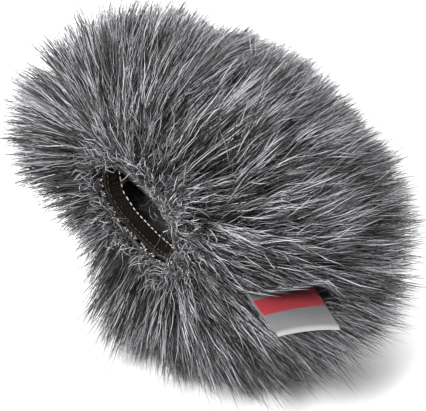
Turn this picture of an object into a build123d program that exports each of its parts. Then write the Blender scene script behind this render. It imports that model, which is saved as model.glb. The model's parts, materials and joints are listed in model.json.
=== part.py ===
from build123d import *
import math
import os

# Furry windscreen for a pocket audio recorder: a shallow lined bag sewn from two panels of
# long-pile fabric, with an elastic mouth and a folded ribbon label in one side seam.
# Millimetres.  +Z is up, the mouth faces -Y, the side seam runs along X at mid height.
# The bag lies on its lower panel.  The model is laid out with the mouth's plane at Y = 0 and
# the seam at Z = 0, and is moved at the end to put the origin under the middle of the bag.

# ---- driving dimensions -------------------------------------------------------------------
# knit skin of the bag, outside the lining and inside the pile
SKIN_HALF_WIDTH = 54.5
SKIN_HALF_HEIGHT = 30.0
SKIN_DEPTH = 54.0
FULLEST_AT = 18.0
MOUTH_HALF_WIDTH = 28.5
MOUTH_HALF_HEIGHT = 13.0
SKIN_FRONT_POWER = 2.1
SKIN_BACK_POWER = 2.3

# outer limit of the pile's tips
PILE_HALF_WIDTH = 84.0
PILE_HALF_HEIGHT = 57.0
PILE_FRONT = -20.0
PILE_BACK = 80.0
PILE_POWER = 2.2
FUNNEL_HALF_WIDTH = 41.0
FUNNEL_HALF_HEIGHT = 25.0
REST_DEPTH = 51.0
LIP_DEPTH = 1.5

# thickness and layering of the cloth, measured inwards from the skin's outside
KNIT = 0.9
LINING_FROM = 1.1
LINING_TO = 1.6
LINING_FRONT_Y = 0.1
LINING_SEAM_CLEARANCE = 0.2
ALLOWANCE_TO = 4.2
ALLOWANCE_FROM_Y = 10.5
SEAM_GAP = 0.66
BINDING_FROM = 1.9
BINDING_TO = 4.7
BINDING_TAPE = 0.4
BINDING_PLAY = 0.05

# folded hem round the mouth, with the elastic in it
HEM_OUTSIDE = 1.75
HEM_TAPE = 0.4
HEM_PLAY = 0.1
ELASTIC_THICKNESS = 1.0
ELASTIC_WIDTH = 6.0
HEM_FRONT_Y = 0.2

# thread
THREAD_RADIUS = 0.28
THREAD_SET_OFF = 0.02
HEM_STITCHES = 44
OVERLOCK_STITCHES = 76
SEAM_STITCH_PITCH = 3.6
STITCH_SHARE = 0.7

# label, a loop of ribbon folded at its free end and sewn into the seam at the +X side
LABEL_WIDTH = 18.5
LABEL_LENGTH = 28.0
LABEL_PLY = 0.32
LABEL_LOOP_GAP = 0.5
LABEL_PIVOT_X = 54.6
LABEL_PIVOT_Y = 16.0
LABEL_YAW = -8.0
LABEL_DROOP = 4.0
LABEL_TAIL = 2.8
TACK_STITCHES = 6
TACK_SET_BACK = 0.45
LABEL_ROOT_CLEARANCE = 0.5
LABEL_SWING_DOWN = 15.0
LABEL_SWING_UP = 30.0
POCKET_EXTRA_ANGLE = 4.0
POCKET_SIDE_CLEARANCE = 0.8
POCKET_HALF_THICKNESS = 1.3

# ---- places worked out from the driving dimensions ------------------------------------------
MIDDLE_Y = (PILE_FRONT + PILE_BACK) / 2
TO_ORIGIN = Location((0, -MIDDLE_Y, REST_DEPTH))
BINDING_HALF_THICKNESS = KNIT + SEAM_GAP + BINDING_PLAY + BINDING_TAPE
HEM_THICKNESS = 2 * HEM_TAPE + 2 * HEM_PLAY + ELASTIC_THICKNESS
HEM_DEPTH = 2 * HEM_TAPE + 2 * HEM_PLAY + ELASTIC_WIDTH
ELASTIC_INSET = HEM_OUTSIDE + HEM_TAPE + HEM_PLAY
LABEL_THICKNESS = 2 * LABEL_PLY + LABEL_LOOP_GAP
REACH = 200.0

FRONT_ANGLES = [0, 16, 32, 48, 64, 78]
BACK_ANGLES = [0, 14, 28, 42, 55, 66, 75, 82, 86]


# ---- shared shapes ------------------------------------------------------------------------
def ellipse_at(y, half_width, half_height):
    """Flat ellipse across the bag, centred on its axis at the given Y."""
    across = Plane(origin=(0, y, 0), x_dir=(1, 0, 0), z_dir=(0, -1, 0))
    right = EllipticalCenterArc((0, 0), half_width, half_height, start_angle=-90, arc_size=180)
    left = EllipticalCenterArc((0, 0), half_width, half_height, start_angle=90, arc_size=180)
    return across * make_face([right, left])


def tube_section(y_from, y_to, half_width, half_height):
    """Straight elliptical plug between two Y positions."""
    return loft([ellipse_at(y_from, half_width, half_height), ellipse_at(y_to, half_width, half_height)])


def profile(front_y, mid_y, back_y, mouth, full, front_power, back_power):
    """Stations of a bag: (y, half width, half height) from its front edge to its crown."""
    stations = []
    for degrees in FRONT_ANGLES:
        angle = math.radians(degrees)
        swell = math.sin(angle) ** (2 / front_power)
        y = front_y + (mid_y - front_y) * (1 - math.cos(angle) ** (2 / front_power))
        stations.append((y, *[m + (f - m) * swell for m, f in zip(mouth, full)]))
    for degrees in BACK_ANGLES:
        angle = math.radians(degrees)
        shrink = math.cos(angle) ** (2 / back_power)
        y = mid_y + (back_y - mid_y) * math.sin(angle) ** (2 / back_power)
        stations.append((y, *[f * shrink for f in full]))
    return stations


def skin_profile(inset):
    """Stations of the bag's skin, moved inwards by the inset."""
    mouth = (MOUTH_HALF_WIDTH - inset, MOUTH_HALF_HEIGHT - inset)
    full = (SKIN_HALF_WIDTH - inset, SKIN_HALF_HEIGHT - inset)
    return profile(inset, FULLEST_AT, SKIN_DEPTH - inset, mouth, full, SKIN_FRONT_POWER, SKIN_BACK_POWER)


def bag(stations):
    """Solid through a bag's stations."""
    return loft([ellipse_at(*station) for station in stations])


def skin(inset, neck_from=-1.0):
    """The bag's inside as a solid at an inset, carried forward through the mouth."""
    neck = tube_section(neck_from, inset + 0.3, MOUTH_HALF_WIDTH - inset, MOUTH_HALF_HEIGHT - inset)
    return bag(skin_profile(inset)) + neck


def slab(z_from, z_to, y_from=-REACH):
    """Wide box between two heights, used to keep one layer of a shape."""
    height = z_to - z_from
    return Location((0, y_from + REACH, (z_from + z_to) / 2)) * Box(2 * REACH, 2 * REACH, height)


def seam_line(inset, y_from, pitch):
    """Evenly spaced points round the bag's edge at mid height, from one side of the mouth to the other."""
    right = [(half, y) for y, half, _ in skin_profile(inset)]
    left = [(-half, y) for half, y in reversed(right)]
    curve = Polyline(right + left)
    count = int(curve.length / pitch)
    points = [curve @ (i / count) for i in range(count + 1)]
    return [(p.X, p.Y) for p in points if p.Y > y_from]


def thread(start, end, radius=THREAD_RADIUS):
    """One visible stitch: a short round length of thread."""
    start = Vector(*start)
    end = Vector(*end)
    run = end - start
    middle = (start + end) * 0.5
    return Plane(origin=middle, z_dir=run) * Cylinder(radius, run.length)


def threads_along(points, z):
    """A row of running stitches through a list of points at one height."""
    row = []
    for (x0, y0), (x1, y1) in zip(points, points[1:]):
        margin = (1 - STITCH_SHARE) / 2
        start = (x0 + (x1 - x0) * margin, y0 + (y1 - y0) * margin, z)
        end = (x1 - (x1 - x0) * margin, y1 - (y1 - y0) * margin, z)
        row.append(thread(start, end))
    return row


def ring_point(turn, inset):
    """Point on the mouth's ellipse at an inset, as (x, z); the turn runs from 0 to 1."""
    angle = 2 * math.pi * turn
    return (MOUTH_HALF_WIDTH - inset) * math.cos(angle), (MOUTH_HALF_HEIGHT - inset) * math.sin(angle)


def ring_row(count, inset, y):
    """A row of running stitches round the mouth."""
    row = []
    for i in range(count):
        x0, z0 = ring_point((i + 0.15) / count, inset)
        x1, z1 = ring_point((i + 0.85) / count, inset)
        row.append(thread((x0, y, z0), (x1, y, z1)))
    return row


def written(name, shape):
    """Move a piece to the part's own frame and write it."""
    placed = TO_ORIGIN * shape
    export_step(placed, os.path.join("parts", name + ".step"))


# ---- label --------------------------------------------------------------------------------
LABEL_PLACE = Location((LABEL_PIVOT_X, LABEL_PIVOT_Y, 0), (0, 0, LABEL_YAW))
LABEL_REST = LABEL_PLACE * Location((0, 0, 0), (0, LABEL_DROOP, 0))


def loop_blank(x_from, x_to, thickness, width):
    """Flat bar along X with a round far edge, as thick as the loop or as its hollow."""
    length = x_to - x_from
    bar = Location((x_from + length / 2, 0, 0)) * Box(length, width, thickness)
    return bar + Location((x_to, 0, 0), (90, 0, 0)) * Cylinder(thickness / 2, width)


def label_ribbon():
    """Free part of the label: two plies joined by a round fold at the far end."""
    fold_x = LABEL_LENGTH - LABEL_THICKNESS / 2
    outside = loop_blank(LABEL_ROOT_CLEARANCE, fold_x, LABEL_THICKNESS, LABEL_WIDTH)
    inside = loop_blank(0, fold_x, LABEL_LOOP_GAP, 2 * LABEL_WIDTH)
    return LABEL_REST * (outside - inside)


def label_tail():
    """End of the ribbon that is sewn between the two panels."""
    tail = Location((-LABEL_TAIL / 2, 0, 0)) * Box(LABEL_TAIL, LABEL_WIDTH, 2 * LABEL_PLY)
    return LABEL_PLACE * tail


def label_tack_stitches():
    """Two short rows that hold the ribbon's tail, one on each face."""
    row = []
    pitch = LABEL_WIDTH / TACK_STITCHES
    radius = THREAD_RADIUS / 2
    margin = (1 - STITCH_SHARE) / 2
    for i in range(TACK_STITCHES):
        y0 = -LABEL_WIDTH / 2 + (i + margin) * pitch
        y1 = y0 + STITCH_SHARE * pitch
        for side in (1, -1):
            z = side * (LABEL_PLY + THREAD_SET_OFF + radius)
            row.append(LABEL_PLACE * thread((-TACK_SET_BACK, y0, z), (-TACK_SET_BACK, y1, z), radius))
    return row


def label_pocket():
    """Room in the pile for the label's swing, with the hinge line at its root."""
    low = math.radians(-LABEL_DROOP - LABEL_SWING_DOWN - POCKET_EXTRA_ANGLE)
    high = math.radians(-LABEL_DROOP + LABEL_SWING_UP + POCKET_EXTRA_ANGLE)
    far = 1.6 * LABEL_LENGTH
    half_width = LABEL_WIDTH / 2 + POCKET_SIDE_CLEARANCE
    wedge = make_face(
        Plane.XZ
        * Polyline(
            (-LABEL_TAIL, -POCKET_HALF_THICKNESS),
            (0, -POCKET_HALF_THICKNESS),
            (far, far * math.tan(low) - POCKET_HALF_THICKNESS),
            (far, far * math.tan(high) + POCKET_HALF_THICKNESS),
            (0, POCKET_HALF_THICKNESS),
            (-LABEL_TAIL, POCKET_HALF_THICKNESS),
            close=True,
        )
    )
    return LABEL_PLACE * extrude(wedge, amount=half_width, both=True)


# ---- pile ---------------------------------------------------------------------------------
def pile():
    """All of the pile as one body: tips' outer limit, less the bag, the funnel and the label's room."""
    rim = (FUNNEL_HALF_WIDTH, FUNNEL_HALF_HEIGHT)
    full = (PILE_HALF_WIDTH, PILE_HALF_HEIGHT)
    outer = bag(profile(PILE_FRONT, FULLEST_AT, PILE_BACK, rim, full, PILE_POWER, PILE_POWER))
    funnel = loft(
        [
            ellipse_at(PILE_FRONT - 1, FUNNEL_HALF_WIDTH + 0.6, FUNNEL_HALF_HEIGHT + 0.6),
            ellipse_at(LIP_DEPTH, MOUTH_HALF_WIDTH - LIP_DEPTH, MOUTH_HALF_HEIGHT - LIP_DEPTH),
        ]
    )
    rest = slab(-REST_DEPTH, REACH)
    return (outer & rest) - funnel - skin(0, PILE_FRONT / 2) - label_pocket()


# ---- skin, lining and seam ------------------------------------------------------------------
def seam_allowance():
    """Edges of both panels turned inwards along the seam."""
    layer = slab(-KNIT - SEAM_GAP, KNIT + SEAM_GAP, ALLOWANCE_FROM_Y)
    return (skin(KNIT) - skin(ALLOWANCE_TO)) & layer


def backing():
    """Knit ground of the fur fabric, with its seam allowance, before it is parted into two panels."""
    shell = bag(skin_profile(0)) - skin(KNIT)
    return shell + seam_allowance()


def seam_slit():
    """Thin space between the two panels, where the label's tail lies."""
    return slab(-SEAM_GAP, SEAM_GAP)


def seam_binding():
    """Tape folded over both allowances."""
    half_inside = BINDING_HALF_THICKNESS - BINDING_TAPE
    layer = slab(-BINDING_HALF_THICKNESS, BINDING_HALF_THICKNESS, ALLOWANCE_FROM_Y)
    outside = (skin(BINDING_FROM) - skin(BINDING_TO)) & layer
    inside = (skin(LINING_FROM) - skin(BINDING_TO - BINDING_TAPE)) & slab(-half_inside, half_inside)
    return outside - inside


def lining():
    """Thin slick lining, open where the seam's binding lies."""
    shell = skin(LINING_FROM, LINING_FRONT_Y) - skin(LINING_TO)
    half_gap = KNIT + SEAM_GAP + LINING_SEAM_CLEARANCE
    return shell - slab(-half_gap, half_gap)


def binding_stitches():
    """Running stitch on both faces of the seam's binding."""
    points = seam_line((BINDING_FROM + BINDING_TO) / 2, ALLOWANCE_FROM_Y + 1, SEAM_STITCH_PITCH)
    z = BINDING_HALF_THICKNESS + THREAD_SET_OFF + THREAD_RADIUS
    return threads_along(points, z) + threads_along(points, -z)


# ---- mouth --------------------------------------------------------------------------------
def ring(inset, thickness, y_from, width):
    """Elliptical band round the mouth."""
    outside = tube_section(y_from, y_from + width, MOUTH_HALF_WIDTH - inset, MOUTH_HALF_HEIGHT - inset)
    hole_width = MOUTH_HALF_WIDTH - inset - thickness
    hole_height = MOUTH_HALF_HEIGHT - inset - thickness
    return outside - tube_section(y_from - 1, y_from + width + 1, hole_width, hole_height)


def mouth_hem():
    """Tape folded round the elastic."""
    channel = ring(
        HEM_OUTSIDE + HEM_TAPE,
        HEM_THICKNESS - 2 * HEM_TAPE,
        HEM_FRONT_Y + HEM_TAPE,
        HEM_DEPTH - 2 * HEM_TAPE,
    )
    return ring(HEM_OUTSIDE, HEM_THICKNESS, HEM_FRONT_Y, HEM_DEPTH) - channel


def mouth_elastic():
    """Loop of flat elastic that lies in the hem."""
    return ring(ELASTIC_INSET, ELASTIC_THICKNESS, HEM_FRONT_Y + HEM_TAPE + HEM_PLAY, ELASTIC_WIDTH)


def hem_stitches(y):
    """Running stitch on the hem's inner face."""
    inset = HEM_OUTSIDE + HEM_THICKNESS + THREAD_SET_OFF + 1.4 * THREAD_RADIUS
    return ring_row(HEM_STITCHES, inset, y)


def overlock_stitches():
    """Whip stitches over the cut edge of the skin round the mouth."""
    row = []
    y = -THREAD_SET_OFF - THREAD_RADIUS
    for i in range(OVERLOCK_STITCHES):
        turn = i / OVERLOCK_STITCHES
        x0, z0 = ring_point(turn, LINING_TO)
        x1, z1 = ring_point(turn + 0.3 / OVERLOCK_STITCHES, 0.1)
        row.append(thread((x0, y, z0), (x1, y, z1)))
    return row


# ---- assembly -----------------------------------------------------------------------------
UPPER = slab(0, REACH)
LOWER = slab(-REACH, 0)


def main():
    """Build every piece and write it."""
    os.makedirs("parts", exist_ok=True)
    whole_pile = pile()
    written("upper_pile", whole_pile & UPPER)
    written("lower_pile", whole_pile & LOWER)
    whole_backing = backing() - seam_slit()
    written("upper_backing", whole_backing & UPPER)
    written("lower_backing", whole_backing & LOWER)
    whole_lining = lining()
    written("upper_lining", whole_lining & UPPER)
    written("lower_lining", whole_lining & LOWER)
    written("seam_binding", seam_binding())
    written("binding_stitches", Compound(children=binding_stitches()))
    written("mouth_hem", mouth_hem())
    written("mouth_elastic", mouth_elastic())
    written("front_hem_stitches", Compound(children=hem_stitches(HEM_FRONT_Y + 0.8)))
    written("rear_hem_stitches", Compound(children=hem_stitches(HEM_FRONT_Y + HEM_DEPTH - 0.8)))
    written("mouth_overlock_stitches", Compound(children=overlock_stitches()))
    written("label_tail", label_tail())
    written("label_tack_stitches", Compound(children=label_tack_stitches()))
    written("label_ribbon", label_ribbon())
    pivot = TO_ORIGIN * Location((LABEL_PIVOT_X, LABEL_PIVOT_Y, 0))
    print("label hinge at", [round(v, 3) for v in pivot.position])


main()
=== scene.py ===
"""Looks of a furry windscreen: a lined bag of long-pile fabric for a pocket audio recorder.

Everything is in metres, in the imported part's own frame: +Z up, the mouth faces -Y, and the
side seam lies at mid height.  Every size is a dataclass field or comes from the part's boxes.
"""

import json
import logging
import math
from dataclasses import dataclass, field
from enum import Enum
from typing import Callable

import bmesh
import bpy
import numpy as np
from mathutils import Matrix, Vector


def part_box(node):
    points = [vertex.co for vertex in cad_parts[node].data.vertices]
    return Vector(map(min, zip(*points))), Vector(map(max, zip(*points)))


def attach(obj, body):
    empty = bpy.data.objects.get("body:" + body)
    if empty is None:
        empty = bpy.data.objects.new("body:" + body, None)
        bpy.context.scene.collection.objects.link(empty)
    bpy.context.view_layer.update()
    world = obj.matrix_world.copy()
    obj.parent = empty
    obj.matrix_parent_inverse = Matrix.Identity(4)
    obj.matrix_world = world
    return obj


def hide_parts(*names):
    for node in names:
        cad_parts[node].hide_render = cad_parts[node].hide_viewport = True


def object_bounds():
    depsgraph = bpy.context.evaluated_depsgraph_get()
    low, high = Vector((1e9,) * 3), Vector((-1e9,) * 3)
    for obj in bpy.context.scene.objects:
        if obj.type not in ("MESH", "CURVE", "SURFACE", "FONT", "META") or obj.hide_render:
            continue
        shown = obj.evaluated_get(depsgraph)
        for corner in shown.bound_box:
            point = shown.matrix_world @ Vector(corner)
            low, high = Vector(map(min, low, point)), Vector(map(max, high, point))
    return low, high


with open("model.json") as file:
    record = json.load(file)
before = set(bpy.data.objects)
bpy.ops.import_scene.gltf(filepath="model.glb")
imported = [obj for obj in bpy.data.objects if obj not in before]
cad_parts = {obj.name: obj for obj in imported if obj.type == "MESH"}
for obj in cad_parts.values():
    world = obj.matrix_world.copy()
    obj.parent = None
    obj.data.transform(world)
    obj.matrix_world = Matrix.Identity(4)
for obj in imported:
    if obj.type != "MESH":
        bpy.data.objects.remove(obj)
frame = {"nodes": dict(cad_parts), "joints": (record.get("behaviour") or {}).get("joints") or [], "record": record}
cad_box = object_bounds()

LOG = logging.getLogger("windscreen")
MM = 0.001
COVER_BODY = "cover"
LABEL_BODY = "label"
BAKE_UV = "OFBake"
ROUND = 2 * math.pi

Colour = tuple[float, float, float]
Point = tuple[float, float, float]
Place = Callable[[np.ndarray, np.ndarray], np.ndarray]


# ---- finishes -------------------------------------------------------------------------------
class NodeTree:
    """Short way to write a procedural material's nodes and links."""

    def __init__(self, name: str) -> None:
        """Start an empty material with a Principled shader.

        Args:
            name: the material's name.
        """
        self.material = bpy.data.materials.new(name)
        self.material.use_nodes = True
        self.nodes = self.material.node_tree.nodes
        self.links = self.material.node_tree.links
        self.shader = self.nodes["Principled BSDF"]

    def add(self, kind: str, **settings: object) -> bpy.types.Node:
        """Add a node and set its properties.

        Args:
            kind: Blender's node type, without the ShaderNode prefix.
            settings: properties of the node, by name.

        Returns:
            The new node.
        """
        node = self.nodes.new("ShaderNode" + kind)
        for key, value in settings.items():
            setattr(node, key, value)
        return node

    def join(self, source: bpy.types.NodeSocket, target: bpy.types.NodeSocket) -> None:
        """Link two sockets."""
        self.links.new(source, target)

    def fixed(self, **values: object) -> None:
        """Set constants on the shader's own sockets; an underscore stands for a space."""
        for key, value in values.items():
            self.shader.inputs[key.replace("_", " ")].default_value = value

    def ramp(self, source: bpy.types.NodeSocket, stops: list[tuple[float, Colour]]) -> bpy.types.NodeSocket:
        """Colour ramp driven by a value.

        Args:
            source: the value.
            stops: pairs of position and linear colour.

        Returns:
            The ramp's colour output.
        """
        node = self.add("ValToRGB")
        elements = node.color_ramp.elements
        while len(elements) < len(stops):
            elements.new(0.5)
        for element, (place, colour) in zip(elements, stops):
            element.position = place
            element.color = (*colour, 1.0)
        self.join(source, node.inputs["Fac"])
        return node.outputs["Color"]

    def math(self, operation: str, a: object, b: object = 0.0) -> bpy.types.NodeSocket:
        """Arithmetic on two values.

        Args:
            operation: Blender's name of the operation.
            a: the first value, a socket or a number.
            b: the second value, a socket or a number.

        Returns:
            The result's socket.
        """
        node = self.add("Math", operation=operation)
        for socket, value in zip(node.inputs, (a, b)):
            if isinstance(value, bpy.types.NodeSocket):
                self.join(value, socket)
            else:
                socket.default_value = value
        return node.outputs["Value"]

    def mix(self, factor: object, a: object, b: object, blend: str = "MIX") -> bpy.types.NodeSocket:
        """Mix of two colours.

        Args:
            factor: how much of the second colour, a socket or a number.
            a: the first colour, a socket or a linear colour.
            b: the second colour, a socket or a linear colour.
            blend: Blender's name of the blend.

        Returns:
            The mixed colour's socket.
        """
        node = self.add("Mix", data_type="RGBA", blend_type=blend)
        sockets = (node.inputs[0], node.inputs[6], node.inputs[7])
        for socket, value in zip(sockets, (factor, a, b)):
            if isinstance(value, bpy.types.NodeSocket):
                self.join(value, socket)
            elif isinstance(value, tuple):
                socket.default_value = (*value, 1.0)
            else:
                socket.default_value = value
        return node.outputs[2]

    def map_axes(self) -> tuple[bpy.types.NodeSocket, bpy.types.NodeSocket, bpy.types.NodeSocket]:
        """The piece's own map, whole, and its U and V apart."""
        uv = self.add("UVMap", uv_map=BAKE_UV).outputs["UV"]
        parts = self.add("SeparateXYZ")
        self.join(uv, parts.inputs["Vector"])
        return uv, parts.outputs["X"], parts.outputs["Y"]

    def patches(self, place: bpy.types.NodeSocket, scale: float, detail: float) -> bpy.types.NodeSocket:
        """Cloudy noise.

        Args:
            place: the coordinates it lies on.
            scale: how small its patches are.
            detail: how many finer layers it has.

        Returns:
            The noise's value.
        """
        node = self.add("TexNoise")
        node.inputs["Scale"].default_value = scale
        node.inputs["Detail"].default_value = detail
        self.join(place, node.inputs["Vector"])
        return node.outputs["Fac"]

    def bump(self, height: bpy.types.NodeSocket, strength: float, distance: float) -> None:
        """Bump on the shader's normal from a height.

        Args:
            height: the height.
            strength: how strongly it shows, from 0 to 1.
            distance: the height that a value of one stands for.
        """
        node = self.add("Bump")
        node.inputs["Strength"].default_value = strength
        node.inputs["Distance"].default_value = distance
        self.join(height, node.inputs["Height"])
        self.join(node.outputs["Normal"], self.shader.inputs["Normal"])


@dataclass(frozen=True)
class PileFinish:
    """Acrylic fur: the map's U picks a strand's shade and V runs from root to tip; painted shade darkens each
    strand towards its root.
    """

    shades: tuple[tuple[float, Colour], ...] = (
        (0.0, (0.0045, 0.0030, 0.0018)),
        (0.28, (0.014, 0.0105, 0.0080)),
        (0.52, (0.078, 0.076, 0.081)),
        (0.78, (0.300, 0.298, 0.322)),
        (1.0, (0.720, 0.715, 0.750)),
    )
    # painted shade: the strands darken towards their roots, where shade falls deep in the pile
    painted_root_shade: tuple[tuple[float, float], ...] = ((0.0, 0.03), (0.35, 0.26), (0.65, 0.80), (1.0, 1.0))
    roughness: float = 0.5
    gloss: float = 0.35

    def material(self) -> bpy.types.Material:
        """Make the material."""
        tree = NodeTree("pile_fur_strands")
        _, strand, height = tree.map_axes()
        shade = tree.ramp(strand, list(self.shades))
        # painted shade towards the roots, multiplied into each strand's own shade
        along = tree.ramp(height, [(place, (share,) * 3) for place, share in self.painted_root_shade])
        colour = tree.mix(1.0, shade, along, "MULTIPLY")
        tree.join(colour, tree.shader.inputs["Base Color"])
        tree.fixed(Roughness=self.roughness, Specular_IOR_Level=self.gloss)
        return tree.material


@dataclass(frozen=True)
class ClothFinish:
    """Woven or knitted cloth with threads at a real pitch, on Object coordinates."""

    name: str
    dark: Colour
    light: Colour
    pitch: float = 0.5 * MM
    roughness: float = 0.85
    sheen: float = 0.05
    bump: float = 0.5
    gloss: float = 0.2
    thread_height: float = 0.2 * MM
    thread_share: float = 0.6
    patch_scale: float = 180.0
    patch_share: float = 0.5
    unevenness: float = 1.2
    wave_per_scale: float = 0.314

    def title(self) -> str:
        """The material's name."""
        return self.name + "_weave"

    def material(self) -> bpy.types.Material:
        """Make the material."""
        tree = NodeTree(self.title())
        place = tree.add("TexCoord").outputs["Object"]
        warp = tree.add("TexWave", wave_type="BANDS", bands_direction="X")
        weft = tree.add("TexWave", wave_type="BANDS", bands_direction="DIAGONAL")
        for wave in (warp, weft):
            wave.inputs["Scale"].default_value = self.wave_per_scale / self.pitch
            wave.inputs["Distortion"].default_value = self.unevenness
            wave.inputs["Detail"].default_value = 1.0
            tree.join(place, wave.inputs["Vector"])
        thread = tree.math("MULTIPLY", warp.outputs["Fac"], weft.outputs["Fac"])
        patches = tree.patches(place, self.patch_scale, 4.0)
        threads = tree.math("MULTIPLY", thread, self.thread_share)
        tone = tree.math("ADD", threads, tree.math("MULTIPLY", patches, self.patch_share))
        tree.join(tree.ramp(tone, [(0.15, self.dark), (0.85, self.light)]), tree.shader.inputs["Base Color"])
        tree.fixed(Roughness=self.roughness, Specular_IOR_Level=self.gloss, Sheen_Weight=self.sheen)
        tree.bump(thread, self.bump, self.thread_height)
        return tree.material


@dataclass(frozen=True)
class RibbonFinish:
    """Grey satin ribbon with a plain woven red band, and a painted highlight that lightens it round the fold; the
    map's U runs along it and V across.
    """

    grey: Colour = (0.060, 0.060, 0.062)
    pale: Colour = (0.150, 0.150, 0.155)
    red: Colour = (0.26, 0.003, 0.010)
    # painted highlight: the pale colour that lightens the ribbon round its fold
    fold_highlight: Colour = (0.33, 0.325, 0.315)
    band_from: float = 0.19
    band_to: float = 0.33
    fold_half: float = 0.030
    weft_threads: int = 150
    warp_threads: int = 64
    weave_share: float = 0.35
    patch_scale: float = 40.0
    patch_share: float = 0.6
    thread_height: float = 0.05 * MM

    def material(self) -> bpy.types.Material:
        """Make the material."""
        tree = NodeTree("ribbon_satin")
        uv, along, across = tree.map_axes()
        weft = tree.math("SINE", tree.math("MULTIPLY", along, ROUND * self.weft_threads))
        warp = tree.math("SINE", tree.math("MULTIPLY", across, ROUND * self.warp_threads))
        weave = tree.math("MULTIPLY_ADD", tree.math("MULTIPLY", weft, warp), 0.5)
        patches = tree.math("MULTIPLY", tree.patches(uv, self.patch_scale, 2.0), self.patch_share)
        tone = tree.math("ADD", tree.math("MULTIPLY", weave, self.weave_share), patches)
        grey = tree.ramp(tone, [(0.15, self.grey), (0.8, self.pale)])
        past_start = tree.math("GREATER_THAN", along, self.band_from)
        inside = tree.math("MULTIPLY", past_start, tree.math("LESS_THAN", along, self.band_to))
        from_fold = tree.math("ABSOLUTE", tree.math("SUBTRACT", along, 0.5))
        near_fold = tree.math("SUBTRACT", 1.0, tree.math("DIVIDE", from_fold, self.fold_half))
        # painted highlight round the fold
        fold_highlight = tree.math("SMOOTH_MAX", near_fold, 0.0)
        colour = tree.mix(fold_highlight, tree.mix(inside, grey, self.red), self.fold_highlight)
        tree.join(colour, tree.shader.inputs["Base Color"])
        tree.fixed(Roughness=0.38, Specular_IOR_Level=0.5, Sheen_Weight=0.2)
        tree.bump(tree.math("ADD", weft, warp), 0.35, self.thread_height)
        return tree.material


class Finish(Enum):
    """Every cloth and thread finish on the windscreen, by the record's material slot."""

    # painted shade: the knit ground is coloured dark so that it reads as shadow deep among the strands
    KNIT = ClothFinish("knit_ground", (0.012, 0.011, 0.010), (0.075, 0.072, 0.070), 0.7 * MM)
    # painted light: the lining is paler than its near-black cloth so that it shows lit inside the shaded bag
    LINING = ClothFinish(
        "slick_lining", (0.045, 0.042, 0.038), (0.125, 0.118, 0.108), 0.45 * MM, 0.36, 0.05, 0.3, 0.5
    )
    BINDING = ClothFinish("binding_tape", (0.008, 0.008, 0.009), (0.025, 0.025, 0.027))
    ELASTIC = ClothFinish(
        "elastic", (0.0025, 0.0018, 0.0012), (0.018, 0.013, 0.009), 0.6 * MM, 0.7, 0.0, 0.5, 0.12
    )
    PALE_THREAD = ClothFinish("pale_thread", (0.45, 0.45, 0.44), (0.80, 0.80, 0.78), 0.25 * MM)
    DARK_THREAD = ClothFinish("dark_thread", (0.020, 0.014, 0.009), (0.100, 0.070, 0.045), 0.25 * MM, 0.6)
    RIBBON = ClothFinish("ribbon", (0.060, 0.060, 0.062), (0.150, 0.150, 0.155), 0.3 * MM, 0.45, 0.10)

    def material(self) -> bpy.types.Material:
        """The finish's material, made once."""
        made = bpy.data.materials.get(self.value.title())
        return made or self.value.material()


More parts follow.
